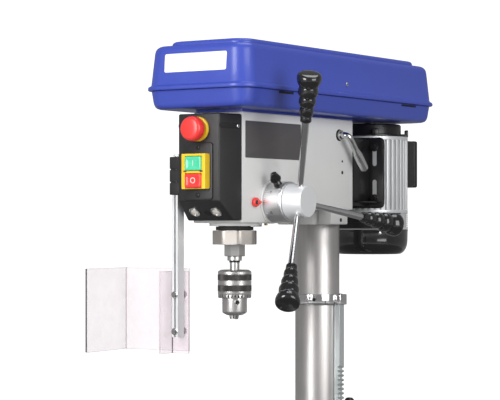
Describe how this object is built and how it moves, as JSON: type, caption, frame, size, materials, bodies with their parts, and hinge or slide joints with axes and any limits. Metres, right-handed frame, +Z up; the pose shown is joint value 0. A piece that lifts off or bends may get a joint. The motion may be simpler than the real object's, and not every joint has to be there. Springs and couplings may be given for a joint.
{
  "type": "drill press",
  "caption": "Bench drill press with belt cover, geared chuck, three-spoke feed, chuck guard, round column and a tilting table on a rack.",
  "frame": {"origin": "centre of the base's underside below the column axis", "axes": "+Z up along the column, -Y towards the operator, +X the feed handle side"},
  "size_m": [0.363, 0.7549, 1.038],
  "materials": {
    "cast_grey": "satin grey paint",
    "cast_iron": "ground",
    "steel": "ground and brushed",
    "chrome": "polished",
    "aluminium": "satin",
    "black_plastic": "fine texture",
    "black_gloss": "moulded gloss",
    "black_paint": "satin black paint",
    "blue": "gloss enamel with light orange peel",
    "yellow": "moulded",
    "red": "moulded",
    "green": "moulded",
    "rubber": "matte",
    "clear": "clear sheet with a faint pink tint"
  },
  "bodies": {
    "frame": {"base": "cast_grey", "column_flange": "cast_grey", "column": "steel", "rack_collar": "chrome", "head_casting": "cast_grey", "front_panel": "black_plastic", "switch_plate": "black_plastic", "switch_housing": "yellow", "stop_collar": "yellow", "belt_tray": "blue", "spindle_belt": "rubber", "motor_belt": "rubber", "depth_pointer": "red", "spring_housing": "black_paint", "return_spring": "steel", "guard_bracket": "black_plastic"},
    "lid": {"belt_lid": "blue"},
    "stop_button": {"stop_button": "red"},
    "green_button": {"green_button": "green"},
    "red_button": {"red_button": "red"},
    "quill": {"quill": "steel", "quill_collar": "steel", "quill_bumper": "rubber", "spindle_bearing": "steel"},
    "spindle": {"spindle": "steel", "chuck_body": "chrome"},
    "chuck_sleeve": {"chuck_sleeve": "chrome"},
    "jaw_1": {"chuck_jaw_1": "steel"},
    "jaw_2": {"chuck_jaw_2": "steel"},
    "jaw_3": {"chuck_jaw_3": "steel"},
    "spindle_pulley": {"spindle_pulley": "aluminium"},
    "idler_pulley": {"idler_pulley": "aluminium"},
    "motor": {"motor_body": "aluminium", "motor_bottom_cap": "black_plastic", "motor_top_cap": "black_plastic", "terminal_box": "black_plastic", "motor_plate": "black_paint", "slide_bar_left": "steel", "slide_bar_right": "steel"},
    "motor_pulley": {"motor_pulley": "aluminium"},
    "tension_lever": {"tension_lever": "chrome"},
    "feed": {"pinion_shaft": "steel", "feed_hub": "aluminium", "feed_rod_1": "chrome", "feed_rod_2": "chrome", "feed_rod_3": "chrome", "feed_grip_1": "black_gloss", "feed_grip_2": "black_gloss", "feed_grip_3": "black_gloss"},
    "depth_collar": {"depth_collar": "aluminium"},
    "depth_knob": {"depth_lock_knob": "black_plastic"},
    "guard_post": {"guard_rail": "aluminium"},
    "guard_sheets": {"guard_inner_sheet": "clear", "guard_outer_sheet": "clear"},
    "rack": {"rack": "steel"},
    "table_arm": {"table_arm": "cast_grey"},
    "table": {"table": "cast_iron", "tilt_bolt": "steel"},
    "crank": {"table_crank": "black_paint"},
    "column_lock": {"column_lock_lever": "black_paint"}
  },
  "joints": [
    {"name": "lid_hinge", "type": "hinge", "parent": "frame", "child": "lid", "pos_m": [-0.109, 0, 0.956], "axis": [0, -1, 0], "range_deg": [0, 95]},
    {"name": "stop_push", "type": "slide", "parent": "frame", "child": "stop_button", "axis": [0, 1, 0], "range_m": [0, 0.004], "stiffness_N_per_m": 600},
    {"name": "green_push", "type": "slide", "parent": "frame", "child": "green_button", "axis": [0, 1, 0], "range_m": [0, 0.003], "stiffness_N_per_m": 300},
    {"name": "red_push", "type": "slide", "parent": "frame", "child": "red_button", "axis": [0, 1, 0], "range_m": [0, 0.003], "stiffness_N_per_m": 300},
    {"name": "quill_feed", "type": "slide", "parent": "frame", "child": "quill", "axis": [0, 0, -1], "range_m": [0, 0.08], "stiffness_N_per_m": 250, "springref_m": -0.35},
    {"name": "spindle_turn", "type": "hinge", "parent": "quill", "child": "spindle", "pos_m": [0, -0.268, 0.65], "axis": [0, 0, 1], "continuous": true},
    {"name": "chuck_sleeve_turn", "type": "hinge", "parent": "spindle", "child": "chuck_sleeve", "pos_m": [0, -0.268, 0.63], "axis": [0, 0, 1], "range_deg": [0, 3600]},
    {"name": "jaw_1_slide", "type": "slide", "parent": "spindle", "child": "jaw_1", "axis": [0, 0.2241, 0.9746], "range_m": [0, 0.033]},
    {"name": "jaw_2_slide", "type": "slide", "parent": "spindle", "child": "jaw_2", "axis": [-0.1941, -0.1121, 0.9746], "range_m": [0, 0.033]},
    {"name": "jaw_3_slide", "type": "slide", "parent": "spindle", "child": "jaw_3", "axis": [0.1941, -0.1121, 0.9746], "range_m": [0, 0.033]},
    {"name": "spindle_pulley_turn", "type": "hinge", "parent": "frame", "child": "spindle_pulley", "pos_m": [0, -0.268, 0.95], "axis": [0, 0, 1], "continuous": true},
    {"name": "idler_turn", "type": "hinge", "parent": "frame", "child": "idler_pulley", "pos_m": [0, -0.055, 0.95], "axis": [0, 0, 1], "continuous": true},
    {"name": "motor_slide", "type": "slide", "parent": "frame", "child": "motor", "axis": [0, -1, 0], "range_m": [0, 0.012]},
    {"name": "motor_turn", "type": "hinge", "parent": "motor", "child": "motor_pulley", "pos_m": [0, 0.19, 0.95], "axis": [0, 0, 1], "continuous": true},
    {"name": "tension_lever_turn", "type": "hinge", "parent": "frame", "child": "tension_lever", "pos_m": [0, -0.021, 0.8925], "axis": [1, 0, 0], "range_deg": [0, 40]},
    {"name": "feed_turn", "type": "hinge", "parent": "frame", "child": "feed", "pos_m": [0, -0.232, 0.771], "axis": [1, 0, 0], "range_deg": [0, 420]},
    {"name": "depth_collar_turn", "type": "hinge", "parent": "feed", "child": "depth_collar", "pos_m": [0.07858, -0.232, 0.771], "axis": [1, 0, 0], "range_deg": [-175, 175]},
    {"name": "depth_knob_turn", "type": "hinge", "parent": "depth_collar", "child": "depth_knob", "pos_m": [0.07858, -0.232, 0.771], "axis": [0, -0.6157, 0.788], "range_deg": [-60, 60]},
    {"name": "guard_swing", "type": "hinge", "parent": "frame", "child": "guard_post", "pos_m": [-0.0575, -0.352, 0.65], "axis": [0, 0, 1], "range_deg": [0, 180]},
    {"name": "guard_height", "type": "slide", "parent": "guard_post", "child": "guard_sheets", "axis": [0, 0, 1], "range_m": [0, 0.07]},
    {"name": "table_swing", "type": "hinge", "parent": "frame", "child": "rack", "pos_m": [0, 0, 0.35], "axis": [0, 0, 1], "range_deg": [-180, 180]},
    {"name": "table_lift", "type": "slide", "parent": "rack", "child": "table_arm", "axis": [0, 0, 1], "range_m": [-0.17, 0.105]},
    {"name": "table_tilt", "type": "hinge", "parent": "table_arm", "child": "table", "pos_m": [0, -0.1103, 0.352], "axis": [0, 1, 0], "range_deg": [-45, 45]},
    {"name": "crank_turn", "type": "hinge", "parent": "table_arm", "child": "crank", "pos_m": [0.0775, 0, 0.3448], "axis": [1, 0, 0], "range_deg": [-10400, 6400]},
    {"name": "column_lock_turn", "type": "hinge", "parent": "table_arm", "child": "column_lock", "pos_m": [0.027, 0.0683, 0.3448], "axis": [1, 0, 0], "range_deg": [-120, 0]}
  ],
  "couplings": [
    {"joint": "feed_turn", "follows": "quill_feed", "rad_per_m": 90.909},
    {"joint": "tension_lever_turn", "follows": "motor_slide", "rad_per_m": 58},
    {"joint": "crank_turn", "follows": "table_lift", "rad_per_m": 1040},
    {"joint": "jaw_1_slide", "follows": "chuck_sleeve_turn", "m_per_rad": 0.000525},
    {"joint": "jaw_2_slide", "follows": "chuck_sleeve_turn", "m_per_rad": 0.000525},
    {"joint": "jaw_3_slide", "follows": "chuck_sleeve_turn", "m_per_rad": 0.000525},
    {"joint": "spindle_pulley_turn", "follows": "spindle_turn", "ratio": 1},
    {"joint": "idler_turn", "follows": "spindle_turn", "ratio": 1.1818},
    {"joint": "motor_turn", "follows": "spindle_turn", "ratio": 1.9943}
  ]
}
